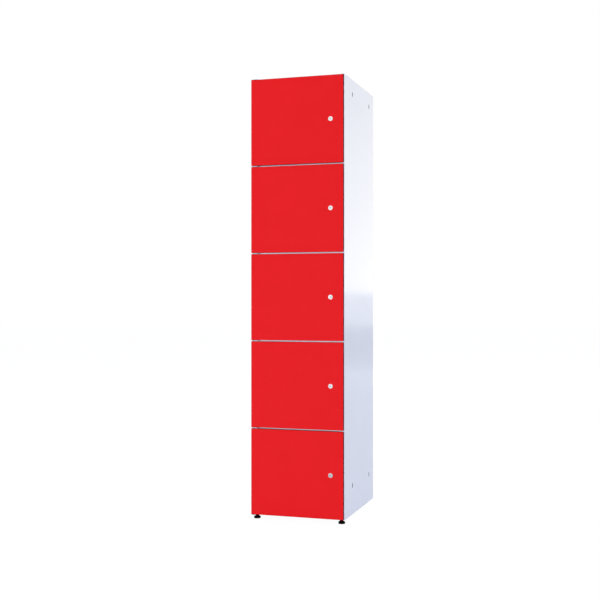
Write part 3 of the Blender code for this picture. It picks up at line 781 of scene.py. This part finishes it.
# Cam screws: pan-head screws of zinc-plated steel with a cross recess. Each is driven into the end of a plug
# and holds the cam on its square. The crown of the head is given as shares of its radius and height.
CAM_SCREW_PITCH = 0.0007
CAM_SCREW_ROOT = 0.8
CROWN = ((1.0, 0.35), (0.93, 0.7), (0.75, 0.92), (0.5, 1.0))
RECESS_LENGTH = 0.0042
RECESS_WIDTH = 0.0009
RECESS_DEPTH = 0.0012
low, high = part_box("cam_screw_1")
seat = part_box("lock_cam_1")[1].y + FIT
cap, cap_height = (high.x - low.x) / 2, high.y - seat
shank = CAM_SCREW_DIAMETER / 2
root, tip = shank * CAM_SCREW_ROOT, low.y - seat
turns = int((seat - low.y) / CAM_SCREW_PITCH) - 1
profile = [(0, tip), (root, tip)]
profile += thread(shank, root, tip, CAM_SCREW_PITCH, turns)
profile += [(root, 0), (cap, 0)]
profile += [(cap * out, cap_height * up) for out, up in CROWN]
profile += [(0, cap_height)]
first_screw = spin_up(profile, (lock.x, seat, lock.z), (0, 1, 0), CAM_SCREW_STEPS)
for across, up in ((RECESS_LENGTH, RECESS_WIDTH), (RECESS_WIDTH, RECESS_LENGTH)):
    blade_low = (lock.x - across / 2, high.y - RECESS_DEPTH, lock.z - up / 2)
    blade_high = (lock.x + across / 2, high.y + SHEET, lock.z + up / 2)
    cut(first_screw, start(bpy.ops.mesh.primitive_cube_add, blade_low, blade_high, size=1))

lock_pieces = [
    (first_housing, "lock_shell", [chrome], "door_leaf", "chrome_plate", "lock_housing"),
    (first_nut, "lock_clamp_nut", [zinc], "door_leaf", "zinc_plated_steel", "lock_nut"),
    (first_plug, "lock_key_core", [chrome, keyway_painted_shade], "lock_core", "chrome_plate", "lock_plug"),
    (first_cam, "lock_strap", [zinc], "lock_core", "zinc_plated_steel", "lock_cam"),
    (first_screw, "lock_strap_screw", [zinc], "lock_core", "zinc_plated_steel", "cam_screw"),
]
for master, word, finishes, body, slot, node_name in lock_pieces:
    for number in door_numbers:
        drop = hinges[f"lock_{number}_turn"]["pos_m"][2] - lock.z
        piece = twin(master, (0, 0, drop))
        hand_over(piece, f"{word}_{number}", finishes, f"{body}_{number}", slot, f"{node_name}_{number}")
    bpy.data.objects.remove(master)

# Foot pads: moulded black nylon cones that swivel on the studs. The rim is rounded where it meets the floor,
# and the cone narrows to a neck under the base.
PAD_RIM = 0.0065
PAD_ROUND = 0.0015
PAD_NECK = 0.008
PAD_NECK_HEIGHT = 0.006
PAD_FLOOR = 0.004
PAD_STEPS = 64
FLARE_STEPS = 6

# Black nylon: glass-filled and moulded in a spark-eroded tool, so it is a deep matt black with a grit of
# about 0.5 mm.
NYLON_GRIT = 0.0005
NYLON_GRIT_HEIGHT = 0.00002
nylon, tree, shader, place = new_material("black_moulded_nylon", "#080608", 0.5)
shader.inputs["Specular IOR Level"].default_value = 0.06
grit = node(tree, "ShaderNodeTexNoise", {"Vector": place, "Scale": 1 / NYLON_GRIT, "Detail": 2.0})
matt = node(tree, "ShaderNodeMapRange", {"Value": grit.outputs["Fac"], "To Min": 0.42, "To Max": 0.62})
tree.links.new(matt.outputs["Result"], shader.inputs["Roughness"])
bump = node(tree, "ShaderNodeBump", {"Height": grit.outputs["Fac"], "Distance": NYLON_GRIT_HEIGHT})
tree.links.new(bump.outputs["Normal"], shader.inputs["Normal"])

low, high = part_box("foot_pad_front_left")
rim, top = (high.x - low.x) / 2, high.z
inset = rim - PAD_ROUND
flare_low, flare_high = PAD_RIM + PAD_ROUND, top - PAD_NECK_HEIGHT
profile = [(0, 0), (inset, 0)]
profile += arc(PAD_ROUND, (inset, PAD_ROUND), -90, 0)
profile += [(rim, PAD_RIM)]
profile += arc(PAD_ROUND, (inset, PAD_RIM), 0, 90)
for step in range(1, FLARE_STEPS):
    angle = math.radians(90 * step / FLARE_STEPS)
    width = PAD_NECK + (inset - PAD_NECK) * (1 - math.sin(angle))
    profile.append((width, flare_low + (flare_high - flare_low) * (1 - math.cos(angle))))
bore = FOOT_THREAD / 2 + FIT
profile += [(PAD_NECK, flare_high), (PAD_NECK, top), (bore, top), (bore, PAD_FLOOR), (0, PAD_FLOOR)]
first_axis = ((low.x + high.x) / 2, (low.y + high.y) / 2, 0)
first_pad = spin_up(profile, first_axis, (0, 0, 1), PAD_STEPS)

# Levelling studs: zinc-plated M8 studs, threaded all the way. Each stands in the socket of its pad and screws
# in a boss of the base, which moves the foot up and down.
STUD_PITCH = 0.00125
STUD_THREAD_DEPTH = 0.0007
STUD_TIP = 0.001
STUD_STEPS = 32
low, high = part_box("foot_stud_front_left")
crest = (high.x - low.x) / 2
root = crest - STUD_THREAD_DEPTH
turns = int((high.z - low.z - STUD_TIP) / STUD_PITCH)
profile = [(0, low.z), (root, low.z)]
profile += thread(crest, root, low.z, STUD_PITCH, turns)
profile += [(crest - STUD_TIP, high.z), (0, high.z)]
first_stud = spin_up(profile, first_axis, (0, 0, 1), STUD_STEPS)

for corner in feet:
    pad_node, stud_node = f"foot_pad_{corner}", f"foot_stud_{corner}"
    pad_body, stud_body = f"foot_{corner}", f"foot_screw_{corner}"
    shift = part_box(pad_node)[0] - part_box("foot_pad_front_left")[0]
    pad = twin(first_pad, shift)
    hand_over(pad, f"swivel_pad_{corner}", [nylon], pad_body, "black_nylon", pad_node)
    stud = twin(first_stud, shift)
    hand_over(stud, f"levelling_stud_{corner}", [zinc], stud_body, "zinc_plated_steel", stud_node)
bpy.data.objects.remove(first_pad)
bpy.data.objects.remove(first_stud)

# Studio: a pale paper floor that keeps a faint shadow, and a white surround. A tall bank of lit silk behind
# on the right, with its lower edge just above the eye, gives the side panel its bright upper half. A key
# light in front lights the doors, and weaker lamps fill the sides, the back and the top.
FLOOR_SIZE = 60.0
FLOOR_WHITE = 0.9
FLOOR_GLOW = 1.08
FLOOR_MIRRORED = 0.25
EYE_HEIGHT = 0.9047
AMBIENT = 0.3
BANK_ABOVE_EYE = 0.078
BANK_PLACE = (2.3, 8.0)
BANK_WIDTH = 3.0
BANK_HEIGHT = 4.0
BANK_LOW = 1.85
BANK_HIGH = 0.62


def seen_share(tree, camera, mirrored):
    """How much of the plain white a ray gets: camera rays, and rays by way of metal or glass."""
    path = node(tree, "ShaderNodeLightPath", {})
    by_glass = {0: path.outputs["Is Glossy Ray"], 1: path.outputs["Is Transmission Ray"]}
    bounced = node(tree, "ShaderNodeMath", by_glass, operation="MAXIMUM")
    part = node(tree, "ShaderNodeMath", {0: bounced.outputs[0], 1: mirrored}, operation="MULTIPLY")
    by_camera = {0: path.outputs["Is Camera Ray"], 1: camera}
    straight = node(tree, "ShaderNodeMath", by_camera, operation="MULTIPLY")
    either = {0: part.outputs[0], 1: straight.outputs[0]}
    return node(tree, "ShaderNodeMath", either, operation="MAXIMUM").outputs[0]


half = FLOOR_SIZE / 2
floor = start(bpy.ops.mesh.primitive_plane_add, (-half, -half, 0), (half, half, 0), size=1)
bpy.ops.object.mode_set(mode="OBJECT")
floor.name = "studio_floor"
paper, tree, shader, place = new_material("matt_white_paper", "#CDD1DB", 0.9)
glow = node(tree, "ShaderNodeEmission", {"Color": (1, 1, 1, 1), "Strength": FLOOR_GLOW})
share = seen_share(tree, FLOOR_WHITE, FLOOR_MIRRORED)
mixed = node(tree, "ShaderNodeMixShader", {0: share, 1: shader.outputs["BSDF"], 2: glow.outputs["Emission"]})
tree.links.new(mixed.outputs["Shader"], tree.nodes["Material Output"].inputs["Surface"])
floor.data.materials.append(paper)

bank_x, bank_y = BANK_PLACE
bank_bottom = EYE_HEIGHT + BANK_ABOVE_EYE
bank_top = bank_bottom + BANK_HEIGHT
bank = start(
    bpy.ops.mesh.primitive_plane_add,
    (bank_x - BANK_WIDTH / 2, bank_y, bank_bottom),
    (bank_x + BANK_WIDTH / 2, bank_y, bank_top),
    size=1,
    rotation=(math.pi / 2, 0, 0),
)
bpy.ops.object.mode_set(mode="OBJECT")
bank.name = "light_bank"
bank.visible_camera = False
silk, tree, shader, place = new_material("lit_silk", "#FFFFFF", 1.0)
up = node(tree, "ShaderNodeSeparateXYZ", {0: place}).outputs["Z"]
fade = node(tree, "ShaderNodeMapRange", {0: up, 1: bank_bottom, 2: bank_top, 3: BANK_LOW, 4: BANK_HIGH})
glow = node(tree, "ShaderNodeEmission", {"Color": linear("#FFF9E8"), "Strength": fade.outputs["Result"]})
tree.links.new(glow.outputs["Emission"], tree.nodes["Material Output"].inputs["Surface"])
bank.data.materials.append(silk)

world = bpy.context.scene.world or bpy.data.worlds.new("studio")
bpy.context.scene.world = world
world.use_nodes = True
tree = world.node_tree
tree.nodes.clear()
backdrop = node(tree, "ShaderNodeBackground", {"Color": (1, 1, 1, 1), "Strength": 1.0})
ambient = node(tree, "ShaderNodeBackground", {"Color": linear("#EEF1FC"), "Strength": AMBIENT})
share = seen_share(tree, 1.0, 1.0)
mixed = node(tree, "ShaderNodeMixShader", {0: share, 1: ambient.outputs[0], 2: backdrop.outputs[0]})
node(tree, "ShaderNodeOutputWorld", {"Surface": mixed.outputs["Shader"]})

# Each lamp has its place, its width and height, and its power in watts, and aims at the locker's middle.
aim = Vector((0.0, 0.0, EYE_HEIGHT))
lamps = [
    ("key_light", (-3.4, -12.8, 0.9), (4.5, 1.7), 1080.0),
    ("side_light", (7.5, 1.2, 2.2), (3.5, 3.5), 315.0),
    ("left_fill", (-7.5, 1.2, 2.2), (3.5, 3.5), 150.0),
    ("rear_fill", (0.0, 9.0, 2.2), (3.5, 3.5), 210.0),
    ("top_fill", (0.0, 0.6, 7.5), (3.0, 3.0), 110.0),
]
for name, at, size, power in lamps:
    light = bpy.data.lights.new(name, "AREA")
    light.shape = "RECTANGLE"
    light.size, light.size_y = size
    light.energy = power
    lamp = bpy.data.objects.new(name, light)
    bpy.context.scene.collection.objects.link(lamp)
    lamp.location = at
    lamp.rotation_euler = (aim - Vector(at)).to_track_quat("-Z", "Y").to_euler()
    lamp.visible_glossy = False

# Camera: it stands in front of the locker on the right, at half its height, and is turned 17.6 degrees to the
# left. It is held level, so that upright edges stay upright.
CAMERA_PLACE = (1.2751, -4.2270, EYE_HEIGHT)
CAMERA_TURN = 17.60
CAMERA_LENS = 61.52
SENSOR_WIDTH = 36.0
lens = bpy.data.cameras.new("camera")
lens.lens = CAMERA_LENS
lens.sensor_width = SENSOR_WIDTH
camera = bpy.data.objects.new("camera", lens)
bpy.context.scene.collection.objects.link(camera)
camera.location = CAMERA_PLACE
camera.rotation_euler = (math.radians(90), 0, math.radians(CAMERA_TURN))
bpy.context.scene.camera = camera
bpy.context.scene.view_settings.view_transform = "Standard"
